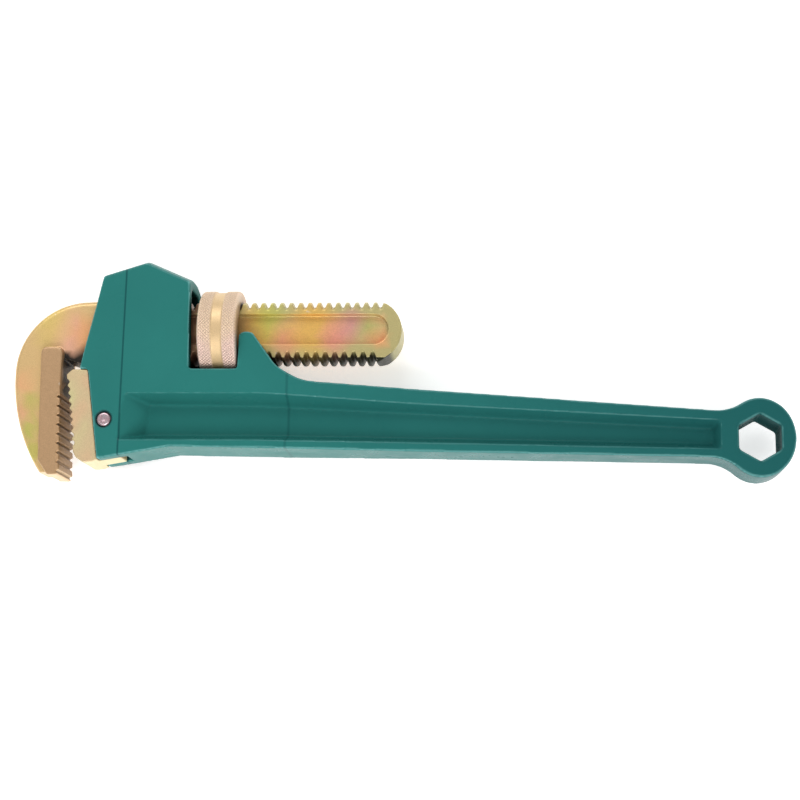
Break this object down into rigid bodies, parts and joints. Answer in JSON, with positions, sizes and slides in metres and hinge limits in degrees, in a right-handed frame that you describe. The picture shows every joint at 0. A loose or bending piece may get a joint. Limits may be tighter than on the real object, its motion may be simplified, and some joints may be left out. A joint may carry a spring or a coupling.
{
  "type": "pipe wrench",
  "caption": "Straight heavy-duty pipe wrench: I-section handle with hexagon eye, sliding toothed hook jaw, knurled adjusting nut and pinned toothed heel jaw.",
  "frame": {"origin": "Middle of the bottom of the whole wrench's box, with the wrench lying on its side.", "axes": "+X runs along the handle from the jaws to the hexagon eye, +Y across the wrench from the jaws' mouth towards the housing roof, +Z through its thickness."},
  "size_m": [0.3162, 0.0904, 0.036],
  "materials": {
    "teal_enamel": "semi-gloss teal enamel over a fine casting",
    "yellow_plating": "yellow chromate plating with pink and green bloom",
    "nut_plating": "pale yellow chromate plating over a diamond knurl",
    "heel_plating": "matte cream-yellow plating over a sand-cast grain",
    "bright_steel": "bright ground steel",
    "spring_steel": "dark oiled spring steel"
  },
  "bodies": {
    "handle_body": {"handle": "teal_enamel", "heel_jaw": "heel_plating", "heel_jaw_pin": "bright_steel", "flat_spring": "spring_steel", "flat_spring_rivet": "bright_steel"},
    "jaw_carrier": {"coil_spring": "spring_steel"},
    "nut_body": {"adjusting_nut": "nut_plating"},
    "jaw_body": {"hook_jaw": "yellow_plating"}
  },
  "joints": [
    {"name": "jaw_rock", "type": "hinge", "parent": "handle_body", "child": "jaw_carrier", "pos_m": [-0.07265, 0.01505, 0.018], "axis": [0, 0, 1], "range_deg": [-2.5, 1.2], "stiffness_Nm_per_rad": 6.8, "deforming": ["coil_spring"]},
    {"name": "nut_spin", "type": "hinge", "parent": "jaw_carrier", "child": "nut_body", "pos_m": [-0.07265, 0.01505, 0.018], "axis": [1, 0, 0], "range_deg": [-121, 4646]},
    {"name": "jaw_slide", "type": "slide", "parent": "jaw_carrier", "child": "jaw_body", "axis": [1, 0, 0], "range_m": [-0.0499, 0.00128]}
  ],
  "couplings": [
    {"joint": "nut_spin", "follows": "jaw_slide", "rad_per_m": -1623.6}
  ]
}
